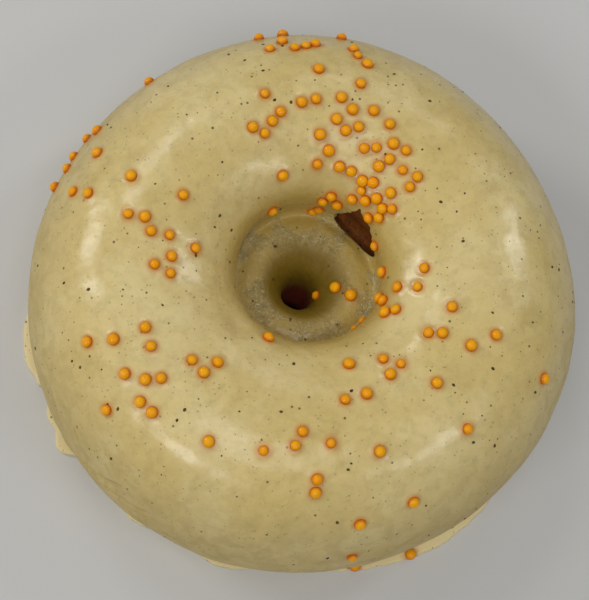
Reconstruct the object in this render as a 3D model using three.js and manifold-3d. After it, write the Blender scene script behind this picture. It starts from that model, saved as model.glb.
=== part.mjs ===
// A ring doughnut: a fried dough ring, the vanilla glaze that it was dipped in, and the sugar
// pearls sprinkled on the glaze. Millimetres, +Z up, origin on the surface it rests on, at the
// centre of its outline.
import * as THREE from 'three';
import { mergeVertices } from 'three/addons/utils/BufferGeometryUtils.js';
import Module from 'manifold-3d';

const wasm = await Module();
wasm.setup();
const { degToRad, euclideanModulo, smoothstep } = THREE.MathUtils;

// ---- driving dimensions ----
const RING_RADIUS = 45.4; // widest radius over the glaze
const RING_HEIGHT = 35.0; // from the resting surface to the top of the glaze
const CREST_RADIUS = 27.5; // where the ring is highest
const EQUATOR_HEIGHT = 14.0; // where the ring is widest
const BELLY_DROP = 19.0; // how far the side would curve down below the equator
const LIP_RADIUS = 11.8; // narrowest part of the crater's mouth
const LIP_HEIGHT = 25.0;
const GROOVE_HEIGHT = 19.9; // the crease between the crater's wall and the collar
const COLLAR_RADIUS = 9.6; // crown of the sunken collar round the hole
const COLLAR_HEIGHT = 20.8;
const THROAT_RADIUS = 2.5; // narrowest part of the hole
const THROAT_HEIGHT = 9.0;
const GLAZE_THICKNESS = 1.2;
const GLAZE_CLEARANCE = 0.3; // left between the dough and the glaze round it
const GLAZE_END_HEIGHT = 6.0; // how far down the hole the glaze ran
const SOLE_INNER_RADIUS = 13.0; // the flat sole's edge at the hole
const HOLE_SHIFT = new THREE.Vector2(0.0, 2.15); // the hole lies off the outline's centre
const THROAT_LEAN = new THREE.Vector2(-0.6, -0.7); // and narrows a little to one side
const FOOT_HEIGHT = 1.1; // the thin foot that the glaze ran out into
const FOOT_REACH = 5.6; // the most that the foot stands out from the neck above it
const NECK_ANGLE = -40; // where the belly turns out into the foot, in degrees
const PEARL_RADIUS = 0.95;
const PEARL_CLEARANCE = 0.15; // left between a pearl and the glaze under it

// ---- resolution ----
const AZIMUTH_STEPS = 56;
const SHOWN_ARC_STEPS = 6; // steps in a quarter turn of the glaze's outer face
const HIDDEN_ARC_STEPS = 4; // and of the faces between the glaze and the dough
const FINE_ARC_STEPS = 24; // and of the curve that the pearls are measured along

// The ring isn't quite round or level. Each wave runs count times round it with a crest at the
// given azimuth; its size is in mm on the outline, and a share of the height on the top.
const OUTLINE_WAVES = [
  { count: 1, crest: 9, size: 0.39 },
  { count: 2, crest: 41, size: 0.23 },
  { count: 3, crest: -28, size: 0.26 },
  { count: 4, crest: -17, size: 0.2 },
];
const HEIGHT_WAVES = [
  { count: 1, crest: -60, size: 0.014 },
  { count: 3, crest: 7, size: 0.008 },
];

// Stretches where the foot ran further out, on top of a foot of MEAN_FOOT_SHARE all round.
const MEAN_FOOT_SHARE = 0.3;
const FOOT_SPREADS = [
  { azimuth: 307, width: 27, share: 0.7 },
  { azimuth: 187, width: 13, share: 0.65 },
  { azimuth: 211, width: 3, share: 0.5 },
];

// Stretches where the foot has broken away, as azimuth and half width in degrees.
const FOOT_CHIPS = [
  { azimuth: 18, halfWidth: 8 },
  { azimuth: 38, halfWidth: 7 },
  { azimuth: 62, halfWidth: 8 },
  { azimuth: 203, halfWidth: 6 },
];

// The bare patch of dough in the crater's wall: points across the patch and up, in mm.
const BARE_PATCH_AZIMUTH = 43;
const BARE_PATCH_OUTLINE = [
  [-5.3, 21.4], [-4.9, 22.4], [-3.2, 25.2], [-1.4, 27.4], [0.5, 27.6],
  [1.8, 28.3], [3.2, 24.6], [4.5, 22.2], [4.4, 21.4],
];
const BARE_PATCH_INNER_RADIUS = 11.0;
const BARE_PATCH_DEPTH = 5.5;

// Where the pearls stuck: azimuth in degrees and distance in mm from the crest, measured over
// the glaze, outwards positive. They fell in loose groups.
const PEARLS_BACK_EDGE = [
  [101.3, 18.3], [95.7, 18.8], [97, 13.8], [100.7, 11.4], [94.5, 11.1], [91.7, 11.6],
  [89.3, 12.3], [82.7, 17.2], [80, 12], [78.8, 10.1], [76, 8.5],
];
const PEARLS_LEFT = [
  [128, 20], [144.3, 20], [151, 23], [154.5, 22], [158.8, 23.4], [151, 14],
  [162, 11.2], [161.5, 14.9], [155, 5.2], [154.5, -3.9], [166.5, 3.2], [166.5, 0.5],
  [171, -1], [171.5, -4], [175.5, -8.6], [180, -4.7], [183, -2], [187, -4.4],
];
const PEARLS_FRONT_LEFT = [
  [199.5, 10.7], [202, 6.5], [203, 1.4], [209, 1.8], [211.5, 7.2], [216, 5.1],
  [218.5, 3.1], [219.5, 7.7], [223.5, 7.4], [215.5, 12.9], [220.5, -2.1], [226.5, -2.1],
  [227.7, -4.7], [239.8, 5.4],
];
const PEARLS_FRONT = [
  [254.5, 3.6], [263.2, 2], [265, -0.1], [274, 1.5], [270, 6.6], [269.8, 8.6],
  [281, -4.7], [287.6, -10.3], [290, -4.8], [288, 3.9], [293.3, 13.4], [280.5, 14.7],
  [279.5, 23.4],
];
const PEARLS_ON_FOOT = [284.5, 297]; // azimuths of the two that lie on the foot
const PEARLS = [...PEARLS_BACK_EDGE, ...PEARLS_LEFT, ...PEARLS_FRONT_LEFT, ...PEARLS_FRONT];

// ---- the ring's section, as points of radius and height ----

// Points along a superellipse, which is an ellipse when the power is 2 and squarer above that.
function superArc({ centre, radii, from, to, power = 2, steps }) {
  const points = [];
  for (let i = 0; i <= steps; i += 1) {
    const angle = degToRad(from + ((to - from) * i) / steps);
    const across = Math.sign(Math.cos(angle)) * Math.abs(Math.cos(angle)) ** (2 / power);
    const up = Math.sign(Math.sin(angle)) * Math.abs(Math.sin(angle)) ** (2 / power);
    points.push(new THREE.Vector2(centre[0] + radii[0] * across, centre[1] + radii[1] * up));
  }
  return points;
}

// The belly below the equator, between two angles, a given depth inside the glaze's outer face.
function bellyArc(depth, from, to, steps) {
  const radii = [RING_RADIUS - CREST_RADIUS - depth, BELLY_DROP - depth];
  return superArc({ centre: [CREST_RADIUS, EQUATOR_HEIGHT], radii, from, to, steps });
}

// The side, top and crater of the ring, from the neck above the foot to the throat of the hole,
// a given depth inside the glaze's outer face.
function ringFace(depth, steps) {
  const shoulder = superArc({
    centre: [CREST_RADIUS, EQUATOR_HEIGHT],
    radii: [RING_RADIUS - CREST_RADIUS - depth, RING_HEIGHT - EQUATOR_HEIGHT - depth],
    from: 0,
    to: 90,
    power: 2.15,
    steps,
  });
  const craterWall = superArc({
    centre: [CREST_RADIUS, LIP_HEIGHT],
    radii: [CREST_RADIUS - LIP_RADIUS - depth, RING_HEIGHT - LIP_HEIGHT - depth],
    from: 90,
    to: 180,
    steps,
  });
  const groove = [
    new THREE.Vector2(LIP_RADIUS + 0.3 + depth, GROOVE_HEIGHT + 1.7 - 0.6 * depth),
    new THREE.Vector2(LIP_RADIUS - 0.3 + 0.7 * depth, GROOVE_HEIGHT - depth),
  ];
  const collar = superArc({
    centre: [COLLAR_RADIUS, THROAT_HEIGHT],
    radii: [COLLAR_RADIUS - THROAT_RADIUS - depth, COLLAR_HEIGHT - THROAT_HEIGHT - depth],
    from: 90,
    to: 180,
    power: 2.4,
    steps,
  });
  const belly = bellyArc(depth, NECK_ANGLE, 0, steps / 2);
  return [...belly, ...shoulder.slice(1), ...craterWall.slice(1), ...groove, ...collar];
}

const NECK = bellyArc(0, NECK_ANGLE, 0, 1)[0];

// The glaze's section, up its outer face from the foot and back down its inner one.
function glazeSection() {
  return [
    new THREE.Vector2(NECK.x + FOOT_REACH - 0.3, 0),
    new THREE.Vector2(NECK.x + FOOT_REACH, 0.45 * FOOT_HEIGHT),
    new THREE.Vector2(NECK.x + FOOT_REACH - 0.6, FOOT_HEIGHT),
    ...ringFace(0, SHOWN_ARC_STEPS),
    new THREE.Vector2(THROAT_RADIUS + 0.2, GLAZE_END_HEIGHT),
    new THREE.Vector2(THROAT_RADIUS + GLAZE_THICKNESS, GLAZE_END_HEIGHT + 0.4),
    ...ringFace(GLAZE_THICKNESS, HIDDEN_ARC_STEPS).reverse(),
    new THREE.Vector2(NECK.x - GLAZE_THICKNESS, 0),
  ];
}

// The dough's section: inside the glaze, then bare down the hole's flare and along the flat sole.
function doughSection() {
  const depth = GLAZE_THICKNESS + GLAZE_CLEARANCE;
  const soleAngle = THREE.MathUtils.radToDeg(-Math.asin(EQUATOR_HEIGHT / (BELLY_DROP - depth)));
  const flareHeight = GLAZE_END_HEIGHT - 0.8;
  const flare = superArc({
    centre: [SOLE_INNER_RADIUS, flareHeight],
    radii: [SOLE_INNER_RADIUS - THROAT_RADIUS - depth, flareHeight],
    from: 180,
    to: 270,
    steps: HIDDEN_ARC_STEPS,
  });
  const edge = bellyArc(depth, soleAngle, NECK_ANGLE, 2).slice(0, -1);
  edge[0].y = 0;
  return [...edge, ...ringFace(depth, HIDDEN_ARC_STEPS), ...flare];
}

// ---- from the section to the ring ----

// The turn from one azimuth to another, in degrees, between -180 and 180.
function turnBetween(azimuth, other) {
  return euclideanModulo(azimuth - other + 180, 360) - 180;
}

// How much of the foot's reach there is at an azimuth: 1 is all of it and 0 is broken away.
function footShare(azimuth) {
  const spreads = FOOT_SPREADS.map(({ azimuth: at, width, share }) =>
    share * Math.exp(-((turnBetween(azimuth, at) / width) ** 2)));
  const spread = spreads.reduce((sum, share) => sum + share, MEAN_FOOT_SHARE);
  const left = FOOT_CHIPS.map(({ azimuth: at, halfWidth }) =>
    smoothstep(Math.abs(turnBetween(azimuth, at)), 0.6 * halfWidth, halfWidth));
  return Math.min(1, spread) * Math.min(...left);
}

// What the waves add up to at an azimuth.
function swellAt(waves, azimuth) {
  const heights = waves.map(({ count, crest, size }) => size * Math.cos(degToRad(count * (azimuth - crest))));
  return heights.reduce((sum, height) => sum + height, 0);
}

// A point of the section set in the ring at an azimuth in degrees.
function place(point, azimuth) {
  let radius = point.x;
  if (point.x > NECK.x && point.y <= FOOT_HEIGHT) {
    radius = NECK.x + (point.x - NECK.x) * footShare(azimuth);
  }
  const outwards = smoothstep(radius, THROAT_RADIUS, RING_RADIUS);
  const lean = 1 - smoothstep(radius, THROAT_RADIUS, COLLAR_RADIUS);
  radius += swellAt(OUTLINE_WAVES, azimuth) * outwards;
  const centre = HOLE_SHIFT.clone().multiplyScalar(1 - outwards).addScaledVector(THROAT_LEAN, lean);
  const angle = degToRad(azimuth);
  return new THREE.Vector3(
    centre.x + radius * Math.cos(angle),
    centre.y + radius * Math.sin(angle),
    point.y * (1 + swellAt(HEIGHT_WAVES, azimuth)),
  );
}

// A closed ring whose section is a closed loop of points, listed anticlockwise.
function sweptRing(section) {
  const positions = [];
  const indices = [];
  for (let step = 0; step < AZIMUTH_STEPS; step += 1) {
    const next = (step + 1) % AZIMUTH_STEPS;
    section.forEach((point, i) => {
      const after = (i + 1) % section.length;
      positions.push(...place(point, (360 * step) / AZIMUTH_STEPS).toArray());
      const [a, b] = [step * section.length + i, next * section.length + i];
      const [c, d] = [next * section.length + after, step * section.length + after];
      indices.push(a, b, c, a, c, d);
    });
  }
  const geometry = new THREE.BufferGeometry();
  geometry.setAttribute('position', new THREE.Float32BufferAttribute(positions, 3));
  geometry.setIndex(indices);
  return geometry;
}

// ---- the glaze's surface, for what sits on it ----

const FINE_FACE = ringFace(0, FINE_ARC_STEPS);
const FACE_LENGTHS = [0, ...new THREE.Path().setFromPoints(FINE_FACE).getCurveLengths()];
const CREST_LENGTH = FACE_LENGTHS[FINE_FACE.findIndex((point) => point.y >= RING_HEIGHT)];

// The point of the section a distance from the crest, measured over the glaze, outwards positive.
function faceAt(distance) {
  const length = CREST_LENGTH - distance;
  const after = FACE_LENGTHS.findIndex((reached) => reached >= length);
  const [start, end] = [FACE_LENGTHS[after - 1], FACE_LENGTHS[after]];
  return FINE_FACE[after - 1].clone().lerp(FINE_FACE[after], (length - start) / (end - start));
}

// The point of the glaze at an azimuth and distance from the crest, and the way out from it.
function glazeAt(azimuth, distance) {
  const reach = 0.3;
  const point = place(faceAt(distance), azimuth);
  const inwards = place(faceAt(distance - reach), azimuth).sub(place(faceAt(distance + reach), azimuth));
  const around = place(faceAt(distance), azimuth + 1).sub(place(faceAt(distance), azimuth - 1));
  return { point, normal: around.cross(inwards).normalize() };
}

// The upper edge of the foot at an azimuth, and the way up from it.
function footAt(azimuth) {
  const edge = new THREE.Vector2(NECK.x + FOOT_REACH - 0.6, FOOT_HEIGHT);
  return { point: place(edge, azimuth), normal: new THREE.Vector3(0, 0, 1) };
}

// ---- cutting ----

function toManifold(geometry) {
  const bare = geometry.clone();
  bare.deleteAttribute('normal');
  bare.deleteAttribute('uv');
  const merged = mergeVertices(bare);
  return new wasm.Manifold(new wasm.Mesh({
    numProp: 3,
    vertProperties: new Float32Array(merged.attributes.position.array),
    triVerts: new Uint32Array(merged.index.array),
  }));
}

function toGeometry(manifold) {
  const mesh = manifold.getMesh();
  const geometry = new THREE.BufferGeometry();
  geometry.setAttribute('position', new THREE.BufferAttribute(mesh.vertProperties, 3));
  geometry.setIndex(new THREE.BufferAttribute(mesh.triVerts, 1));
  return geometry;
}

// The prism that opens the glaze over the bare patch, pointing out from the hole's centre.
function barePatchCutter() {
  const outline = new THREE.Shape(BARE_PATCH_OUTLINE.map(([across, up]) => new THREE.Vector2(across, up)));
  const prism = new THREE.ExtrudeGeometry(outline, { depth: BARE_PATCH_DEPTH, bevelEnabled: false });
  const upwards = new THREE.Vector3(0, 0, 1);
  const outwards = new THREE.Vector3(1, 0, 0).applyAxisAngle(upwards, degToRad(BARE_PATCH_AZIMUTH));
  const across = new THREE.Vector3().crossVectors(upwards, outwards);
  const frame = new THREE.Matrix4().makeBasis(across, upwards, outwards);
  frame.setPosition(outwards.clone().multiplyScalar(BARE_PATCH_INNER_RADIUS)
    .add(new THREE.Vector3(HOLE_SHIFT.x, HOLE_SHIFT.y, 0)));
  return prism.applyMatrix4(frame);
}

// ---- the pieces ----

function doughRing() {
  const crust = new THREE.MeshStandardMaterial({ color: 0x9a6030, roughness: 0.85, metalness: 0 });
  const mesh = new THREE.Mesh(sweptRing(doughSection()), crust);
  mesh.name = 'dough_ring';
  return mesh;
}

function glazeCoat() {
  const glaze = new THREE.MeshStandardMaterial({ color: 0xd8c58c, roughness: 0.3, metalness: 0 });
  const opened = toManifold(sweptRing(glazeSection())).subtract(toManifold(barePatchCutter()));
  const mesh = new THREE.Mesh(toGeometry(opened), glaze);
  mesh.name = 'glaze_coat';
  return mesh;
}

function sugarPearls() {
  const sugar = new THREE.MeshStandardMaterial({ color: 0xeb8c14, roughness: 0.35, metalness: 0 });
  const ball = new THREE.IcosahedronGeometry(PEARL_RADIUS, 1);
  const seats = [
    ...PEARLS.map(([azimuth, distance]) => glazeAt(azimuth, distance)),
    ...PEARLS_ON_FOOT.map(footAt),
  ];
  return seats.map(({ point, normal }, i) => {
    const mesh = new THREE.Mesh(ball, sugar);
    mesh.position.copy(point).addScaledVector(normal, PEARL_RADIUS + PEARL_CLEARANCE);
    mesh.name = `sugar_pearl_${String(i + 1).padStart(2, '0')}`;
    return mesh;
  });
}

const doughnut = new THREE.Group();
doughnut.add(doughRing(), glazeCoat(), ...sugarPearls());

export default doughnut;
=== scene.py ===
"""The looks of a ring doughnut: fried dough, vanilla glaze, sugar pearls and vanilla specks.

Everything is in the frame of the construction model: +Z up, origin on the surface it rests on.
Sizes are in millimetres, and meshes are made in metres.
"""

from __future__ import annotations

import logging
import math
from dataclasses import dataclass
from enum import Enum
from typing import Any

import bmesh
import bpy
import numpy as np
from mathutils import Matrix, Vector, kdtree, noise


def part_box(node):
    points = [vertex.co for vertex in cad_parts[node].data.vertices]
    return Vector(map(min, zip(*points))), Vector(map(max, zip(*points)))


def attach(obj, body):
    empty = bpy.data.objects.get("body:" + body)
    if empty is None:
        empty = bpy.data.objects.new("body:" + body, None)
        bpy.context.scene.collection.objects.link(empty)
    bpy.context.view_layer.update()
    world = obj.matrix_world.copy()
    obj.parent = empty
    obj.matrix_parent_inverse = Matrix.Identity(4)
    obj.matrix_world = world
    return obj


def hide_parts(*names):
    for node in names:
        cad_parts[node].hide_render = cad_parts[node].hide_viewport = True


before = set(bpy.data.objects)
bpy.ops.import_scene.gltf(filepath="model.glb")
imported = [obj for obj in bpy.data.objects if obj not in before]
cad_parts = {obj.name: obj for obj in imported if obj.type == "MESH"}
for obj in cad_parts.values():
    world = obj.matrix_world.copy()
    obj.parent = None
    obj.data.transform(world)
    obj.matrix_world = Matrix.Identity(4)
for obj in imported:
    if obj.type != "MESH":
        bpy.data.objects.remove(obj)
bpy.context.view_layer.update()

MM = 0.001
HALF = (0.5, 0.5, 0.5)  # the middle of a noise texture's colours
BODY = "root"
LOG = logging.getLogger("doughnut")

Colour = tuple[float, float, float]


class Slot(Enum):
    """The record's material slots."""

    DOUGH = "dough"
    GLAZE = "glaze"
    PEARLS = "sugar_pearls"


class Layer(Enum):
    """Values that a mesh carries at its vertices for its finish to read."""

    HALO = "halo"
    CRATER = "crater"
    COLLAR = "collar"
    FUNNEL = "funnel"
    THROAT = "throat"
    SIDE = "side"
    FOOT = "foot"
    RISE = "rise"
    TONE = "tone"


# ---- small helpers ----


def smoothstep(value: np.ndarray, low: float, high: float) -> np.ndarray:
    """Rises smoothly from 0 at low to 1 at high.

    Args:
        value: The values to map.
        low: Where the step starts.
        high: Where the step ends. It may be below low, which turns the step round.

    Returns:
        The step at each value.
    """
    share = np.clip((value - low) / (high - low), 0.0, 1.0)
    return share * share * (3.0 - 2.0 * share)


def turn_between(azimuth: np.ndarray, other: float) -> np.ndarray:
    """The turn from one azimuth to another in degrees, between -180 and 180."""
    return (azimuth - other + 180.0) % 360.0 - 180.0


def field(function: Any, points: np.ndarray) -> np.ndarray:
    """Works a noise function out at every point.

    Args:
        function: Takes a Vector and returns a number.
        points: Points as an array whose last axis holds x, y and z.

    Returns:
        The function's values, shaped as the points are without their last axis.
    """
    flat = points.reshape(-1, 3)
    values = np.fromiter((function(Vector(point)) for point in flat), float, len(flat))
    return values.reshape(points.shape[:-1])


def softened(rows: np.ndarray, spread: float) -> np.ndarray:
    """Rounds the corners off a line of evenly spaced points.

    Args:
        rows: The line's coordinates, one row each.
        spread: How far the rounding reaches, in points.

    Returns:
        The rounded line.
    """
    reach = int(3 * spread)
    weights = np.exp(-0.5 * (np.arange(-reach, reach + 1) / spread) ** 2)
    padded = np.pad(rows, ((0, 0), (reach, reach)), mode="edge")
    return np.array([np.convolve(row, weights / weights.sum(), "valid") for row in padded])


def linked(name: str, data: bpy.types.ID) -> bpy.types.Object:
    """Adds an object to the scene, at the origin."""
    made = bpy.data.objects.new(name, data)
    bpy.context.scene.collection.objects.link(made)
    return made


def new_mesh_object(name: str, points: np.ndarray, faces: np.ndarray) -> bpy.types.Object:
    """Makes a smooth-shaded mesh object at the origin.

    Args:
        name: The piece's name.
        points: Vertices in millimetres.
        faces: Vertex indices, one row a face.

    Returns:
        The object, linked to the scene.
    """
    mesh = bpy.data.meshes.new(name)
    mesh.from_pydata((points * MM).tolist(), [], faces.tolist())
    mesh.validate()
    mesh.shade_smooth()
    return linked(name, mesh)


def store(piece: bpy.types.Object, name: str, values: np.ndarray, kind: str = "FLOAT") -> None:
    """Writes one value, or one FLOAT_VECTOR, for each vertex of a piece."""
    attribute = piece.data.attributes.new(name, kind, "POINT")
    part = "vector" if kind == "FLOAT_VECTOR" else "value"
    attribute.data.foreach_set(part, np.asarray(values, np.float32).ravel())


def made_plain(piece: bpy.types.Object) -> None:
    """Turns what a piece's modifiers make into its own mesh and removes them."""
    graph = bpy.context.evaluated_depsgraph_get()
    made = bpy.data.meshes.new_from_object(
        piece.evaluated_get(graph), preserve_all_data_layers=True, depsgraph=graph
    )
    piece.modifiers.clear()
    piece.data = made


# ---- node trees ----


def operator(operation: str, turned: bool = False) -> Any:
    """A method that adds a Math node for self and another value, the other first if turned."""
    return lambda own, other: own._math(operation, *((other, own) if turned else (own, other)))


class Signal:
    """A node's output that takes part in Python expressions, each adding its Math node."""

    __add__, __radd__ = operator("ADD"), operator("ADD", turned=True)
    __sub__, __rsub__ = operator("SUBTRACT"), operator("SUBTRACT", turned=True)
    __mul__, __rmul__ = operator("MULTIPLY"), operator("MULTIPLY", turned=True)
    __truediv__, __lt__ = operator("DIVIDE"), operator("LESS_THAN")

    def __init__(self, graph: NodeGraph, socket: bpy.types.NodeSocket) -> None:
        """Wraps a socket of a graph."""
        self.graph = graph
        self.socket = socket

    def _math(self, operation: str, *values: Any) -> Signal:
        """Adds a Math node for an operation on values."""
        return self.graph.node("ShaderNodeMath", {"operation": operation}, dict(enumerate(values)))

    def highest(self, other: Any) -> Signal:
        """The higher of self and other."""
        return self._math("MAXIMUM", self, other)

    def step(self, low: Any, high: Any, to_low: float = 0.0, to_high: float = 1.0) -> Signal:
        """Maps self smoothly from one range to another.

        Args:
            low: Where the step starts.
            high: Where the step ends.
            to_low: The value at low and below it.
            to_high: The value at high and above it.

        Returns:
            The mapped value.
        """
        settings = {"interpolation_type": "SMOOTHSTEP"}
        inputs = {"Value": self, "From Min": low, "From Max": high, "To Min": to_low, "To Max": to_high}
        return self.graph.node("ShaderNodeMapRange", settings, inputs)


class NodeGraph:
    """A node tree with one method for adding nodes."""

    def __init__(self, tree: bpy.types.NodeTree) -> None:
        """Starts on an empty tree."""
        self.tree = tree
        self.tree.nodes.clear()

    def node(self, kind: str, settings: dict[str, Any], inputs: dict[Any, Any], output: Any = 0) -> Signal:
        """Adds a node.

        Args:
            kind: The node's type.
            settings: Its properties, set before its inputs.
            inputs: Values or signals by socket name or number.
            output: The name or number of the output that is wanted.

        Returns:
            That output as a signal.
        """
        made = self.tree.nodes.new(kind)
        for name, value in settings.items():
            setattr(made, name, value)
        for key, value in inputs.items():
            self.connect(made.inputs[key], value)
        return Signal(self, (made.outputs or made.inputs)[output])

    def connect(self, socket: bpy.types.NodeSocket, value: Any) -> None:
        """Links a signal to a socket, or sets the socket to a plain value."""
        if isinstance(value, Signal):
            self.tree.links.new(value.socket, socket)
        else:
            socket.default_value = value

    def vector(self, operation: str, first: Signal, second: Any) -> Signal:
        """A Vector Math node. SCALE takes a number second, the others a vector."""
        second_key = "Scale" if operation == "SCALE" else 1
        return self.node("ShaderNodeVectorMath", {"operation": operation}, {0: first, second_key: second})

    def sibling(self, signal: Signal, output: Any) -> Signal:
        """Another output of the node that a signal comes from."""
        return Signal(self, signal.socket.node.outputs[output])


class FinishGraph(NodeGraph):
    """The node tree of one material."""

    def __init__(self, name: str) -> None:
        """Makes an empty material."""
        self.material = bpy.data.materials.new(name)
        self.material.use_nodes = True
        super().__init__(self.material.node_tree)
        self.coords = self.node("ShaderNodeTexCoord", {}, {}, "Object")

    def layer(self, layer: Layer) -> Signal:
        """A value that the mesh carries."""
        settings = {"attribute_type": "GEOMETRY", "attribute_name": layer.value}
        return self.node("ShaderNodeAttribute", settings, {}, "Fac")

    def noise(
        self, size: float, detail: float = 2.0, roughness: float = 0.5, twist: float = 0.0
    ) -> Signal:
        """Noise in Object coordinates.

        Args:
            size: The size of its lumps in millimetres.
            detail: How many finer octaves it has.
            roughness: How strong the finer octaves are.
            twist: How far it is distorted.

        Returns:
            Values around 0.5.
        """
        inputs = {
            "Vector": self.coords,
            "Scale": 1.0 / (size * MM),
            "Detail": detail,
            "Roughness": roughness,
            "Distortion": twist,
        }
        return self.node("ShaderNodeTexNoise", {}, inputs, "Fac")

    def mix(self, share: Any, first: Any, second: Any) -> Signal:
        """Mixes two colours.

        Args:
            share: How much of the second there is.
            first: A colour or a signal.
            second: A colour or a signal.

        Returns:
            The mixed colour.
        """
        made = self.tree.nodes.new("ShaderNodeMix")
        made.data_type = "RGBA"
        sockets = {socket.identifier: socket for socket in made.inputs}
        self.connect(sockets["Factor_Float"], share)
        self.connect(sockets["A_Color"], first if isinstance(first, Signal) else (*first, 1.0))
        self.connect(sockets["B_Color"], second if isinstance(second, Signal) else (*second, 1.0))
        return Signal(self, next(s for s in made.outputs if s.identifier == "Result_Color"))

    def dots(self, spacing: float, size: float, share: float, ragged: float = 0.35) -> Signal:
        """Small scattered dots.

        Args:
            spacing: How far apart their possible places are, in millimetres.
            size: The radius of the largest, in millimetres.
            share: How many of the places hold a dot.
            ragged: How uneven their outlines are, as a share of the spacing.

        Returns:
            1 on a dot and 0 elsewhere.
        """
        ragged_by = self.node(
            "ShaderNodeTexNoise", {}, {"Vector": self.coords, "Scale": 2.0 / (size * MM)}, "Color"
        )
        moved = self.vector("SCALE", self.vector("SUBTRACT", ragged_by, HALF), ragged * size * MM)
        cells = {"Vector": self.vector("ADD", self.coords, moved), "Scale": 1.0 / (spacing * MM)}
        away = self.node("ShaderNodeTexVoronoi", {"feature": "F1"}, cells, "Distance")
        lot = self.node("ShaderNodeSeparateColor", {}, {0: self.sibling(away, "Color")}, 0)
        reach = (0.35 + 0.65 * self.sibling(lot, 1)) * (size / spacing)
        return (1.0 - (away / reach).step(0.6, 1.0)) * (lot < share)

    def bump(
        self, height: Signal, depth: float, strength: float = 1.0, onto: Signal | None = None
    ) -> Signal:
        """A normal tipped by a height.

        Args:
            height: The height, from 0 to 1.
            depth: How high 1 stands, in millimetres.
            strength: The share of it that is used.
            onto: A bump that this one adds to.

        Returns:
            The normal.
        """
        inputs = {"Height": height, "Distance": depth * MM, "Strength": strength}
        if onto is not None:
            inputs["Normal"] = onto
        return self.node("ShaderNodeBump", {}, inputs, "Normal")

    def finished(self, sockets: dict[str, Any]) -> bpy.types.Material:
        """Closes the material with one Principled shader.

        Args:
            sockets: Values or signals for the shader's sockets.

        Returns:
            The material.
        """
        shader = self.node("ShaderNodeBsdfPrincipled", {}, sockets, "BSDF")
        self.node("ShaderNodeOutputMaterial", {}, {"Surface": shader})
        return self.material


# ---- finishes ----


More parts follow.
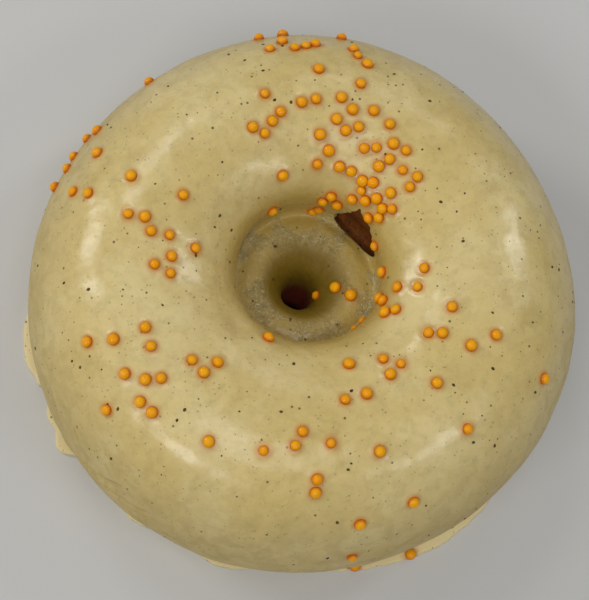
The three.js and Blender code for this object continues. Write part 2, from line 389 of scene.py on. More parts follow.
@dataclass(frozen=True)
class GlazeFinish:
    """Set vanilla glaze: cream with a yellow cast, softly glossy, full of fine vanilla specks, with
    painted shade and painted light.
    """

    cream: Colour = (0.74, 0.575, 0.22)
    pale: Colour = (0.83, 0.69, 0.335)
    # painted light: the foot is made paler, as if lit from above
    foot_painted_light: Colour = (0.88, 0.74, 0.41)
    tan: Colour = (0.55, 0.40, 0.13)
    # painted shade: the lower outer wall is darkened towards this colour
    side: Colour = (0.46, 0.335, 0.105)
    # painted shade: the crater's wall is darkened towards this olive
    crater: Colour = (0.47, 0.33, 0.07)
    # painted shade: the funnel down the hole is darkened to this olive
    funnel: Colour = (0.185, 0.115, 0.001)
    # painted shade: the hole's core, dough brown darkened nearly to black
    throat: Colour = (0.15, 0.016, 0.003)
    speck: Colour = (0.10, 0.068, 0.022)
    faint_speck: Colour = (0.30, 0.22, 0.08)
    bleed: Colour = (0.66, 0.25, 0.035)

    def build(self) -> bpy.types.Material:
        """Makes the material."""
        graph = FinishGraph("vanilla_glaze")
        collar, throat = graph.layer(Layer.COLLAR), graph.layer(Layer.THROAT)
        foot, side, funnel = graph.layer(Layer.FOOT), graph.layer(Layer.SIDE), graph.layer(Layer.FUNNEL)
        clouds = graph.noise(14.0, 3.0).step(0.35, 0.7)
        streaks = graph.noise(3.2, 3.0, 0.6, 0.8).step(0.35, 0.75)
        colour = graph.mix(clouds * 0.85, self.cream, self.pale)
        colour = graph.mix(streaks * 0.3, colour, self.tan)
        stains = graph.noise(6.5, 4.0, 0.65, 0.6).step(0.5, 0.72)
        mottle = graph.noise(1.8, 4.0, 0.7).step(0.45, 0.75)
        # tan stains, heavier on the lower outer wall as part of its painted shade
        colour = graph.mix(stains * (0.3 + 0.3 * side), colour, self.tan)
        colour = graph.mix(mottle * 0.22, colour, self.faint_speck)
        # painted shade: the lower outer wall darker
        colour = graph.mix(side * (0.45 + 0.3 * streaks), colour, self.side)
        # painted light: the foot paler
        colour = graph.mix(foot * 0.9, colour, self.foot_painted_light)
        # painted shade: the crater's wall darker
        colour = graph.mix(graph.layer(Layer.CRATER) * 0.85, colour, self.crater)
        # crinkled patches on the collar: real bump, roughness and coat, and a painted highlight in their
        # paler colour
        crinkle_and_painted_glint = graph.noise(5.0, 1.0).step(0.40, 0.62) * collar * (1.0 - funnel)
        # painted highlight: the crinkled patches paler, as silvery glints
        colour = graph.mix(crinkle_and_painted_glint * 0.5, colour, self.pale)
        colour = graph.mix(graph.dots(0.9, 0.21, 0.75) * 0.6, colour, self.faint_speck)
        colour = graph.mix(graph.dots(1.6, 0.28, 0.65) * 0.85, colour, self.speck)
        colour = graph.mix(graph.layer(Layer.HALO) * 0.7, colour, self.bleed)
        # painted shade: the funnel down the hole darker olive
        colour = graph.mix(funnel * 0.95, colour, self.funnel)
        # painted shade: the hole's core near black-brown
        colour = graph.mix(throat, colour, self.throat)
        skin = graph.noise(2.3, 2.0, 0.5)
        wrinkles = graph.noise(0.7, 3.0, 0.62, 1.4)
        threads = graph.noise(1.3, 4.0, 0.68, 1.8)
        folds = (threads - 0.5).highest(0.5 - threads) * 4.0
        soft = graph.bump(skin, 0.19, 0.65)
        creased = graph.bump(wrinkles * (0.12 * (1.0 - side) + 1.2 * collar + 0.5 * foot), 0.12, 0.6, soft)
        normal = graph.bump(folds * crinkle_and_painted_glint, 0.32, 1.0, creased)
        gloss = graph.noise(4.0, 3.0, 0.6).step(0.3, 0.7, 0.22, 0.38)
        return graph.finished({
            "Base Color": colour,
            "Roughness": gloss - 0.14 * crinkle_and_painted_glint + 0.3 * funnel + 0.4 * throat + 0.2 * foot + 0.25 * side,
            "Normal": normal,
            "IOR": 1.47,
            "Subsurface Weight": 0.15,
            "Subsurface Radius": (1.0, 0.62, 0.25),
            "Subsurface Scale": 1.2 * MM,
            "Coat Weight": (1.0 - funnel) * (1.0 - foot) * (0.36 * (1.0 - side) + 0.5 * crinkle_and_painted_glint),
            "Coat Roughness": 0.14,
        })


@dataclass(frozen=True)
class CrustFinish:
    """Fried dough: a brown crust with darker blisters and pores."""

    crust: Colour = (0.17, 0.045, 0.004)
    dark: Colour = (0.065, 0.015, 0.002)
    golden: Colour = (0.27, 0.095, 0.014)

    def build(self) -> bpy.types.Material:
        """Makes the material."""
        graph = FinishGraph("fried_crust")
        blotches = graph.noise(4.0, 4.0, 0.6).step(0.35, 0.7)
        grain = graph.noise(0.7, 3.0, 0.6)
        pores = graph.dots(0.9, 0.28, 0.6)
        colour = graph.mix(blotches * 0.7, self.crust, self.golden)
        colour = graph.mix(grain.step(0.3, 0.6, 0.6, 0.0), colour, self.dark)
        colour = graph.mix(pores * 0.7, colour, self.dark)
        coarse = graph.bump(grain, 0.25, 0.8)
        return graph.finished({
            "Base Color": colour,
            "Roughness": grain.step(0.3, 0.7, 0.65, 0.9),
            "Normal": graph.bump(1.0 - pores, 0.3, 0.8, coarse),
            "Specular IOR Level": 0.3,
            "Subsurface Weight": 0.05,
            "Subsurface Radius": (1.0, 0.4, 0.15),
            "Subsurface Scale": 0.8 * MM,
        })


@dataclass(frozen=True)
class PearlFinish:
    """Orange sugar, with painted light and shade: bright on top, darker where it sits in the glaze."""

    bright: Colour = (1.0, 0.39, 0.0008)
    base_painted_shade: Colour = (0.55, 0.105, 0.0006)
    yellow: Colour = (1.0, 0.49, 0.0015)

    def build(self) -> bpy.types.Material:
        """Makes the material."""
        graph = FinishGraph("orange_sugar")
        rise = graph.layer(Layer.RISE)
        colour = graph.mix(graph.layer(Layer.TONE) * 0.6, self.bright, self.yellow)
        # painted shade: darker towards the base of each pearl
        colour = graph.mix(rise.step(0.5, 0.92, 1.0, 0.0) * 0.95, colour, self.base_painted_shade)
        grain = graph.noise(0.6, 2.0, 0.6)
        return graph.finished({
            "Base Color": colour,
            "Roughness": grain.step(0.3, 0.7, 0.28, 0.45),
            "Normal": graph.bump(grain, 0.14, 0.8),
            "Specular IOR Level": 0.1,
            "Subsurface Weight": 0.1,
            "Subsurface Radius": (1.0, 0.4, 0.05),
            "Subsurface Scale": 0.5 * MM,
            "Coat Weight": 0.35,
            "Coat Roughness": 0.06,
        })


@dataclass(frozen=True)
class SpeckFinish:
    """Ground vanilla pod: near-black brown."""

    pod: Colour = (0.062, 0.036, 0.010)
    husk: Colour = (0.17, 0.11, 0.032)

    def build(self) -> bpy.types.Material:
        """Makes the material."""
        graph = FinishGraph("vanilla_pod")
        grain = graph.noise(0.3, 2.0)
        return graph.finished({
            "Base Color": graph.mix(grain.step(0.3, 0.7), self.pod, self.husk),
            "Roughness": grain.step(0.3, 0.7, 0.6, 0.9),
            "Specular IOR Level": 0.15,
        })


@dataclass(frozen=True)
class FloorFinish:
    """A plain pale floor with a faint mottle."""

    pale: Colour = (0.63, 0.63, 0.625)
    paler: Colour = (0.67, 0.67, 0.665)

    def build(self) -> bpy.types.Material:
        """Makes the material."""
        graph = FinishGraph("pale_floor")
        return graph.finished({
            "Base Color": graph.mix(graph.noise(60.0, 2.0), self.pale, self.paler),
            "Roughness": 0.55,
            "Specular IOR Level": 0.25,
        })


# ---- the ring's shape ----


@dataclass(frozen=True)
class Wave:
    """A slow swelling that runs a whole number of times round the ring."""

    count: int
    crest: float
    size: float

    def at(self, azimuth: np.ndarray) -> np.ndarray:
        """The swelling at each azimuth in degrees."""
        return self.size * np.cos(np.radians(self.count * (azimuth - self.crest)))


def super_arc(
    centre: tuple[float, float],
    radii: tuple[float, float],
    start: float,
    end: float,
    power: float = 2.0,
    steps: int = 48,
) -> np.ndarray:
    """Points along a superellipse, which is an ellipse when the power is 2 and squarer above that.

    Args:
        centre: Radius and height of its centre.
        radii: Its half width and half height.
        start: The first angle in degrees.
        end: The last angle in degrees.
        power: How square it is.
        steps: How many steps it is cut into.

    Returns:
        One row of radius and height for each point.
    """
    angle = np.radians(np.linspace(start, end, steps + 1))
    across, up = np.cos(angle), np.sin(angle)
    return np.column_stack([
        centre[0] + radii[0] * np.sign(across) * np.abs(across) ** (2.0 / power),
        centre[1] + radii[1] * np.sign(up) * np.abs(up) ** (2.0 / power),
    ])


@dataclass(frozen=True)
class RingShape:
    """The ring that the dough and the glaze share: a section, and how it is set round the hole."""

    ring_radius: float = 45.4
    ring_height: float = 35.0
    crest_radius: float = 27.5
    equator_height: float = 14.0
    belly_drop: float = 19.0
    neck_angle: float = -40.0
    lip_radius: float = 11.8
    lip_height: float = 25.0
    groove_height: float = 19.9
    collar_radius: float = 9.6
    collar_height: float = 20.8
    throat_radius: float = 2.35
    throat_height: float = 9.0
    shoulder_power: float = 2.15
    collar_power: float = 2.9
    hole_shift: tuple[float, float] = (0.0, 2.15)
    throat_lean: tuple[float, float] = (-0.6, -1.3)
    throat_bend: tuple[float, float] = (-1.5, -2.9)
    outline_waves: tuple[Wave, ...] = (
        Wave(1, 9.0, 0.39),
        Wave(2, 41.0, 0.23),
        Wave(3, -28.0, 0.26),
        Wave(4, -17.0, 0.2),
    )
    height_waves: tuple[Wave, ...] = (Wave(1, -60.0, 0.014), Wave(3, 7.0, 0.008))

    def belly(self, depth: float, start: float, end: float) -> np.ndarray:
        """The belly below the equator, between two angles, a depth inside the glaze's face."""
        radii = (self.ring_radius - self.crest_radius - depth, self.belly_drop - depth)
        return super_arc((self.crest_radius, self.equator_height), radii, start, end)

    def face(self, depth: float) -> np.ndarray:
        """The side, top and crater of the ring's section.

        Args:
            depth: How far inside the glaze's outer face it lies.

        Returns:
            Points from the neck above the foot to the throat of the hole.
        """
        crest, equator = self.crest_radius, self.equator_height
        shoulder_radii = (self.ring_radius - crest - depth, self.ring_height - equator - depth)
        shoulder = super_arc((crest, equator), shoulder_radii, 0, 90, self.shoulder_power)
        crater_radii = (crest - self.lip_radius - depth, self.ring_height - self.lip_height - depth)
        crater = super_arc((crest, self.lip_height), crater_radii, 90, 180)
        groove = np.array([
            [self.lip_radius + 0.3 + depth, self.groove_height + 1.7 - 0.6 * depth],
            [self.lip_radius - 0.3 + 0.7 * depth, self.groove_height - depth],
        ])
        foot_of_collar = (self.collar_radius, self.throat_height)
        collar_radii = (
            self.collar_radius - self.throat_radius - depth,
            self.collar_height - self.throat_height - depth,
        )
        collar = super_arc(foot_of_collar, collar_radii, 90, 180, self.collar_power)
        return np.vstack([self.belly(depth, self.neck_angle, 0), shoulder[1:], crater[1:], groove, collar])

    @property
    def neck(self) -> np.ndarray:
        """Radius and height of the neck, where the belly turns out into the foot."""
        return self.belly(0.0, self.neck_angle, 0)[0]

    def place(self, radius: np.ndarray, height: np.ndarray, azimuth: np.ndarray) -> np.ndarray:
        """Sets points of the section in the ring.

        Args:
            radius: Their radii in the section.
            height: Their heights.
            azimuth: Where they go round the ring, in degrees.

        Returns:
            Points in millimetres, with x, y and z on the last axis.
        """
        outwards = smoothstep(radius, self.throat_radius, self.ring_radius)
        lean = 1.0 - smoothstep(radius, self.throat_radius, self.collar_radius)
        swollen = radius + sum(wave.at(azimuth) for wave in self.outline_waves) * outwards
        level = height * (1.0 + sum(wave.at(azimuth) for wave in self.height_waves))
        bend = lean * (1.0 - smoothstep(height, 5.0, 15.0))
        angle = np.radians(azimuth)
        across, back = (
            hole * (1.0 - outwards) + leant * lean + bent * bend
            for hole, leant, bent in zip(self.hole_shift, self.throat_lean, self.throat_bend)
        )
        return np.stack([swollen * np.cos(angle) + across, swollen * np.sin(angle) + back, level], -1)


class FaceRuler:
    """Measures distances over the ring's face from its crest, outwards positive."""

    def __init__(self, shape: RingShape, depth: float = 0.0) -> None:
        """Measures a shape's face at a depth."""
        self.points = shape.face(depth)
        steps = np.hypot(*np.diff(self.points, axis=0).T)
        lengths = np.concatenate([[0.0], np.cumsum(steps)])
        self.distances = lengths[np.argmax(self.points[:, 1])] - lengths

    def at(self, distance: np.ndarray) -> tuple[np.ndarray, np.ndarray]:
        """Radius and height at each distance."""
        radius = np.interp(-distance, -self.distances, self.points[:, 0])
        height = np.interp(-distance, -self.distances, self.points[:, 1])
        return radius, height


def ring_faces(rounds: int, rows: int) -> np.ndarray:
    """The faces of a closed ring whose section is a closed loop, listed anticlockwise.

    Args:
        rounds: How many sections there are round the ring.
        rows: How many points each section has.

    Returns:
        Four vertex indices for each face, facing outwards.
    """
    around, along = np.meshgrid(np.arange(rounds), np.arange(rows), indexing="ij")
    beside, after = (around + 1) % rounds, (along + 1) % rows
    corners = [around * rows + along, beside * rows + along, beside * rows + after, around * rows + after]
    return np.stack(corners, -1).reshape(-1, 4)


# ---- the sugar pearls ----


@dataclass(frozen=True)
class PearlSpots:
    """Where pearls stuck that the construction model leaves out.

    Each is an azimuth in degrees and a distance in millimetres from the crest, measured over the
    glaze, outwards positive. They fell in loose groups.
    """

    back: tuple[tuple[float, float], ...] = (
        (106.5, 1.7), (95, -0.9), (90, -0.4), (81.5, 0.3), (103, -2.1), (107, -3.3), (115, -3.2),
        (111.5, -4.9), (89, 5.4), (76.5, 3.7), (70, -0.4), (63, -1.4), (77, -1.4), (82, -3.6), (73, -4),
        (77.5, -5.2), (88, -6.5), (83, -9),
        (88, -11.5), (75.5, -11.3), (68.5, -11.4), (67.5, -7), (63, -6), (58, -4), (52.5, -3.7),
        (55.5, -6.5), (57.5, -8.5), (48, -6.6), (41.5, -5.7), (40, -7.7),
    )
    crater_rim: tuple[tuple[float, float], ...] = (
        (44, -10.7), (55, -11.3), (60.5, -12), (58, -13.5), (60, -15.7), (52, -14.6), (47.5, -13),
        (40.5, -13.5), (36.5, -12.3), (37.5, -15), (42.5, -16.6), (74.5, -16.8), (79.5, -18.5),
        (68, -18.2), (109, -12.8), (121, -19.5),
    )
    crater: tuple[tuple[float, float], ...] = (
        (80, -22), (84, -24), (23, -19.5), (0, -19), (346, -14.8), (347.5, -11.3), (338, -18.4),
        (335.5, -16.9), (327, -15), (331, -13.4), (322, -23), (313, -23), (355, -32), (342, -29.4),
        (348, -36), (284, -23), (240, -14), (358, -10.5),
    )
    right: tuple[tuple[float, float], ...] = (
        (342, -5.3), (327.5, -6.8), (330.5, -5), (332, -0.4), (339, 2.3), (336.5, 13.2), (313, 7.2),
        (314.5, -0.9), (309, -6.5), (304, -8.7), (302.5, -6),
    )
    left_edge: tuple[tuple[float, float], ...] = ((146, 23),)

    def listed(self) -> np.ndarray:
        """Every spot, one row each."""
        return np.array([*self.back, *self.crater_rim, *self.crater, *self.right, *self.left_edge])


# ---- the glaze ----


@dataclass(frozen=True)
class Dent:
    """A soft dimple or lump in the glaze."""

    azimuth: float
    distance: float
    radius: float
    height: float


@dataclass(frozen=True)
class Crease:
    """A line where the glaze folded as it set: a groove with a low ridge on its outer side."""

    start: tuple[float, float]
    end: tuple[float, float]
    width: float
    depth: float

    def at(self, across: np.ndarray, along: np.ndarray, radius: np.ndarray) -> np.ndarray:
        """The crease's height.

        Args:
            across: Azimuths in degrees.
            along: Distances from the crest.
            radius: Radii, which turn azimuths into lengths.

        Returns:
            The height at each place.
        """
        scale = np.radians(1.0) * radius
        side, out = turn_between(across, self.start[0]) * scale, along - self.start[1]
        run = (turn_between(np.float64(self.end[0]), self.start[0]) * scale, self.end[1] - self.start[1])
        length = np.hypot(*run)
        share = np.clip((side * run[0] + out * run[1]) / length**2, 0.0, 1.0)
        away = np.hypot(side - share * run[0], out - share * run[1]) / self.width
        beside = np.sign(side * run[1] - out * run[0])
        fade = smoothstep(share, -0.02, 0.15) * smoothstep(share, 1.02, 0.8)
        ridge = np.exp(-((away - 1.6) ** 2)) * (beside > 0)
        return fade * self.depth * (0.6 * ridge - np.exp(-(away**2)))


@dataclass(frozen=True)
class FootSpread:
    """A stretch where the glaze ran further out over the surface below."""

    azimuth: float
    width: float
    share: float


@dataclass(frozen=True)
class FootChip:
    """A stretch where the foot has broken away."""

    azimuth: float
    half_width: float


@dataclass(frozen=True)
class GlazeFoot:
    """The thin uneven foot that the glaze ran out into."""

    height: float = 1.1
    reach: float = 5.6
    mean_share: float = 0.3
    top_steps: int = 16
    spreads: tuple[FootSpread, ...] = (
        FootSpread(307, 27, 0.7),
        FootSpread(187, 13, 0.65),
        FootSpread(211, 3, 0.5),
        FootSpread(205, 4.5, 0.3),
        FootSpread(233, 5, 0.22),
        FootSpread(255, 7, 0.28),
    )
    chips: tuple[FootChip, ...] = (FootChip(18, 8), FootChip(38, 7), FootChip(62, 8), FootChip(199, 2.4))

    def share(self, azimuth: np.ndarray) -> np.ndarray:
        """How much of the reach there is at each azimuth: 0 is broken away."""
        total = np.full_like(azimuth, self.mean_share)
        for spread in self.spreads:
            away = turn_between(azimuth, spread.azimuth) / spread.width
            total = total + spread.share * np.exp(-(away**2))
        circle = np.stack([np.cos(np.radians(azimuth)), np.sin(np.radians(azimuth)), 0.0 * azimuth], -1)
        ragged = 0.05 * field(noise.noise, circle * 14.0) + 0.03 * field(noise.noise, circle * 45.0)
        total = np.minimum(total, 1.0) + ragged
        for chip in self.chips:
            away = np.abs(turn_between(azimuth, chip.azimuth))
            total = total * smoothstep(away, 0.6 * chip.half_width, chip.half_width)
        return np.clip(total, 0.0, 1.0)

    def rows(self, neck: np.ndarray) -> np.ndarray:
        """The foot's section from its outer edge back to the neck, at full reach.

        Args:
            neck: Radius and height of the neck.

        Returns:
            One row of radius and height for each point.
        """
        edge = np.array([[0.975, 0.0], [0.99, 0.12], [1.0, 0.38], [0.985, 0.64]])
        out = np.linspace(0.96, 0.05, self.top_steps)
        up = 0.80 + 0.22 * np.sqrt((0.96 - out) / 0.96) + 0.45 * smoothstep(out, 0.25, 0.0)
        profile = np.vstack([edge, np.column_stack([out, up])])
        return np.column_stack([neck[0] + self.reach * profile[:, 0], self.height * profile[:, 1]])


# Where each value starts and where it is full, in millimetres outwards from the crest over the glaze.
LAYER_EDGES = {
    # the crater's painted shade
    Layer.CRATER: (-11.0, -20.0),
    Layer.COLLAR: (-21.0, -25.0),
    # the funnel's painted shade
    Layer.FUNNEL: (-28.6, -32.4),
    # the hole core's painted shade
    Layer.THROAT: (-37.8, -41.0),
    # the lower outer wall's painted shade
    Layer.SIDE: (9.0, 26.0),
}
HALO_EDGES = (0.85, 1.7)  # how far from a pearl's seat its colour starts to fade, and is gone


@dataclass(frozen=True)
class Lumps:
    """Noise in the glaze's surface, by the size and the height of its lumps."""

    size: float
    height: float
    start: tuple[float, float, float] = (0.0, 0.0, 0.0)

    def at(self, points: np.ndarray) -> np.ndarray:
        """The height at each point."""
        start = Vector(self.start)
        return self.height * field(lambda point: noise.noise(point / self.size + start), points)


@dataclass
class GlazeCoat:
    """The vanilla glaze: one uneven skin over the ring, with a foot and one bare patch."""

    shape: RingShape
    foot: GlazeFoot
    pearl_places: np.ndarray
    thickness: float = 1.2
    end_height: float = 6.0
    azimuth_steps: int = 440
    shown_rows: int = 184
    hidden_rows: int = 16
    softness: float = 1.5
    lumps: tuple[Lumps, ...] = (
        Lumps(9.0, 0.22),
        Lumps(3.6, 0.07, (7.0, 3.0, 1.0)),
        Lumps(1.5, 0.02, (1.0, 9.0, 4.0)),
        Lumps(0.9, 0.16),
    )
    creases: tuple[Crease, ...] = (
        Crease((211.0, 35.0), (229.0, 22.0), 0.6, 0.5),
        Crease((221.0, 29.5), (237.0, 24.0), 0.55, 0.42),
        Crease((228.0, 31.0), (244.0, 27.5), 0.5, 0.3),
    )
    dents: tuple[Dent, ...] = (
        Dent(97, 1.0, 1.3, -0.3),
        Dent(220, -12.5, 2.6, -0.55),
        Dent(150, 8, 4.0, 0.25),
        Dent(176, 9, 4.5, 0.2),
        Dent(235, 10, 4.5, 0.2),
        Dent(20, 9, 4.0, 0.25),
        Dent(350, 9, 4.0, -0.2),
    )

    def __post_init__(self) -> None:
        """Lays the fine grid over the foot and the ring's face."""
        self.azimuth = np.arange(self.azimuth_steps) * (360.0 / self.azimuth_steps)
        around = self.azimuth[:, None]
        ruler = FaceRuler(self.shape)
        neck = self.shape.neck
        face = np.linspace(ruler.distances[0], ruler.distances[-1], self.shown_rows)
        foot = self.foot.rows(neck)
        self.distance = np.concatenate([ruler.distances[0] + foot[:, 0] - neck[0], face])
        radius, height = np.hstack([foot.T, softened(np.array(ruler.at(face)), self.softness)])
        on_foot = np.arange(len(radius))[None, :] < len(foot)
        share = np.where(on_foot, self.foot.share(self.azimuth)[:, None], 1.0)
        reached = neck[0] + (radius[None, :] - neck[0]) * share
        self.base = self.shape.place(reached, height[None, :], around)
        self.normal = self._normals(self.base)
        self.halo = self._pearl_distance()
        self.relief = self._relief()
        self.face = self.base + self.normal * self.relief[..., None]
        self.face[..., 2] = np.maximum(self.face[..., 2], 0.0)
        self.face[:, 0, 2] = 0.0

    def _normals(self, points: np.ndarray) -> np.ndarray:
        """Outward normals of the grid."""
        around = np.roll(points, -1, 0) - np.roll(points, 1, 0)
        along = np.gradient(points, axis=1)
        cross = np.cross(around, along)
        return cross / np.linalg.norm(cross, axis=-1, keepdims=True)

    def _pearl_distance(self) -> np.ndarray:
        """Distance from each grid point to the nearest pearl's seat."""
        tree = kdtree.KDTree(len(self.pearl_places))
        for number, place in enumerate(self.pearl_places):
            tree.insert(Vector(self._under(place)[1]), number)
        tree.balance()
        return field(lambda point: tree.find(point)[2], self.base)

    def _under(self, place: np.ndarray) -> tuple[tuple[int, int], np.ndarray]:
        """What lies under a place near the glaze.

        Args:
            place: A point near the glaze.

        Returns:
            The indices of the nearest grid point, and the point of the smooth ring below the place.
        """
        away = np.sum((self.base - place) ** 2, axis=-1)
        index = np.unravel_index(np.argmin(away), away.shape)
        normal = self.normal[index]
        return index, place - normal * np.dot(place - self.base[index], normal)

    def seat(self, place: np.ndarray) -> tuple[np.ndarray, np.ndarray]:
        """Where a thing near the glaze would sit on it.

        Args:
            place: A point near the glaze.

        Returns:
            The point of the glaze below it, and the way out of the glaze there.
        """
        index, below = self._under(place)
        normal = self.normal[index]
        return below + normal * self.relief[index], normal

    def _relief(self) -> np.ndarray:
        """How far the glaze stands off the smooth ring, in millimetres."""
        around, along = np.meshgrid(self.azimuth, self.distance, indexing="ij")
        swells, waves, ripples, crumbs = (lumps.at(self.base) for lumps in self.lumps)
        crinkle = field(lambda p: noise.ridged_multi_fractal(p / 1.7, 0.9, 2.1, 3, 1.0, 2.0), self.base)
        collar = smoothstep(along, -21.0, -26.0)
        relief = swells * (1.0 - 0.5 * collar) + waves + ripples + 0.09 * collar * (crinkle - 1.0)
        radius = np.hypot(self.base[..., 0], self.base[..., 1])
        for dent in self.dents:
            across = np.radians(turn_between(around, dent.azimuth)) * radius
            away = np.hypot(across, along - dent.distance) / dent.radius
            relief = relief + dent.height * np.exp(-(away**2) * 1.5)
        for crease in self.creases:
            relief = relief + crease.at(around, along, radius)
        neck = self.distance[-self.shown_rows]
        on_foot = smoothstep(along, neck - 2.0, neck + 0.5)
        relief = relief * (1.0 - on_foot) + (crumbs + 0.5 * waves) * on_foot
        meniscus = 0.14 * np.exp(-(((self.halo - 1.0) / 0.35) ** 2))
        return relief + meniscus * smoothstep(along, -42.0, -38.0)

    def build(self) -> bpy.types.Object:
        """Makes the coat's mesh.

        Returns:
            The object, with the bare patch not yet cut.
        """
        around = self.azimuth[:, None]
        end = np.array([
            [self.shape.throat_radius + 0.2, self.end_height],
            [self.shape.throat_radius + self.thickness, self.end_height + 0.4],
        ])
        inner_ruler = FaceRuler(self.shape, self.thickness)
        inner = np.linspace(inner_ruler.distances[-1], inner_ruler.distances[0], self.hidden_rows)
        sole = np.array([[self.shape.neck[0] - self.thickness, 0.0]])
        hidden = np.vstack([end, np.column_stack(inner_ruler.at(inner)), sole])
        back = self.shape.place(hidden[None, :, 0], hidden[None, :, 1], around)
        points = np.concatenate([self.face, back], axis=1)
        piece = new_mesh_object(
            "vanilla_glaze", points.reshape(-1, 3), ring_faces(self.azimuth_steps, points.shape[1])
        )
        self._store_layers(piece, len(hidden))
        return piece

    def _store_layers(self, piece: bpy.types.Object, after: int) -> None:
        """Writes the values that the finish reads.

        Args:
            piece: The coat.
            after: How many rows of the section come after the shown ones.
        """
        along = np.broadcast_to(self.distance, self.halo.shape)
        neck = self.distance[-self.shown_rows]
        layers = {layer: smoothstep(along, *edges) for layer, edges in LAYER_EDGES.items()}
        layers[Layer.HALO] = 1.0 - smoothstep(self.halo, *HALO_EDGES)
        layers[Layer.FOOT] = smoothstep(along, neck - 3.0, neck)
        for layer, values in layers.items():
            # the hidden rows carry the throat's full painted shade
            ends = np.full((self.azimuth_steps, after), 1.0 if layer is Layer.THROAT else 0.0)
            store(piece, layer.value, np.concatenate([values, ends], axis=1))


@dataclass(frozen=True)
class BarePatch:
    """The opening in the crater's wall where the glaze missed the dough."""

    shape: RingShape
    azimuth: float = 43.0
    inner_radius: float = 10.8
    depth: float = 5.7
    outline: tuple[tuple[float, float], ...] = (
        (-5.6, 18.2), (-5.0, 22.4), (-3.4, 25.2), (-1.4, 27.4), (0.5, 27.6),
        (1.8, 28.3), (3.4, 24.6), (4.6, 22.2), (4.4, 18.2),
    )
    cuts_per_edge: int = 7
    raggedness: float = 0.32

    def cut(self, coat: bpy.types.Object) -> None:
        """Cuts the patch out of the coat."""
        cutter = self._cutter()
        modifier = coat.modifiers.new("bare_patch", "BOOLEAN")
        modifier.operation = "DIFFERENCE"
        modifier.solver = "MANIFOLD"
        modifier.object = cutter
        made_plain(coat)
        bpy.data.objects.remove(cutter)
        self._drop_folded_faces(coat.data)

    def _drop_folded_faces(self, mesh: bpy.types.Mesh) -> None:
        """Splits the faces along the cut into triangles, without those that lie flat on each other.

        Args:
            mesh: The cut mesh, which stays closed.
        """
        work = bmesh.new()
        work.from_mesh(mesh)
        rim = {corner for face in work.faces if len(face.verts) > 4 for corner in face.verts}
        beside = [face for face in work.faces if any(corner in rim for corner in face.verts)]
        split = bmesh.ops.triangulate(work, faces=beside)["faces"]
        by_corners: dict[frozenset, list[bmesh.types.BMFace]] = {}
        for face in split:
            by_corners.setdefault(frozenset(face.verts), []).append(face)
        folded = [face for faces in by_corners.values() if len(faces) > 1 for face in faces]
        bmesh.ops.delete(work, geom=folded, context="FACES")
        work.to_mesh(mesh)
        work.free()

    def _ragged_outline(self) -> np.ndarray:
        """The outline with its edges broken up."""
        corners = np.array(self.outline)
        shares = np.arange(self.cuts_per_edge) / self.cuts_per_edge
        following = np.roll(corners, -1, 0)
        shares = shares[None, :, None]
        fine = (corners[:, None] * (1 - shares) + following[:, None] * shares).reshape(-1, 2)
        flat = np.column_stack([fine, np.zeros(len(fine))])
        sideways = field(lambda p: noise.noise(p * 1.7), flat)
        upwards = field(lambda p: noise.noise(p * 1.7 + Vector((5.0, 5.0, 5.0))), flat)
        return fine + self.raggedness * np.column_stack([sideways, upwards])

    def _cutter(self) -> bpy.types.Object:
        """A prism that points out from the hole's centre."""
        outline = self._ragged_outline()
        angle = math.radians(self.azimuth)
        outwards = np.array([math.cos(angle), math.sin(angle), 0.0])
        across = np.array([-math.sin(angle), math.cos(angle), 0.0])
        centre = np.array([*self.shape.hole_shift, 0.0])
        flat = centre + outline[:, :1] * across + outline[:, 1:] * np.array([0.0, 0.0, 1.0])
        reaches = (self.inner_radius, self.inner_radius + self.depth)
        near, far = (flat + outwards * reach for reach in reaches)
        count = len(outline)
        mesh = bpy.data.meshes.new("patch_cutter")
        sides = [[i + count, (i + 1) % count + count, (i + 1) % count, i] for i in range(count)]
        caps = [list(range(count)), [i + count for i in reversed(range(count))]]
        mesh.from_pydata((np.vstack([near, far]) * MM).tolist(), [], sides + caps)
        return linked("patch_cutter", mesh)


# ---- the dough ----


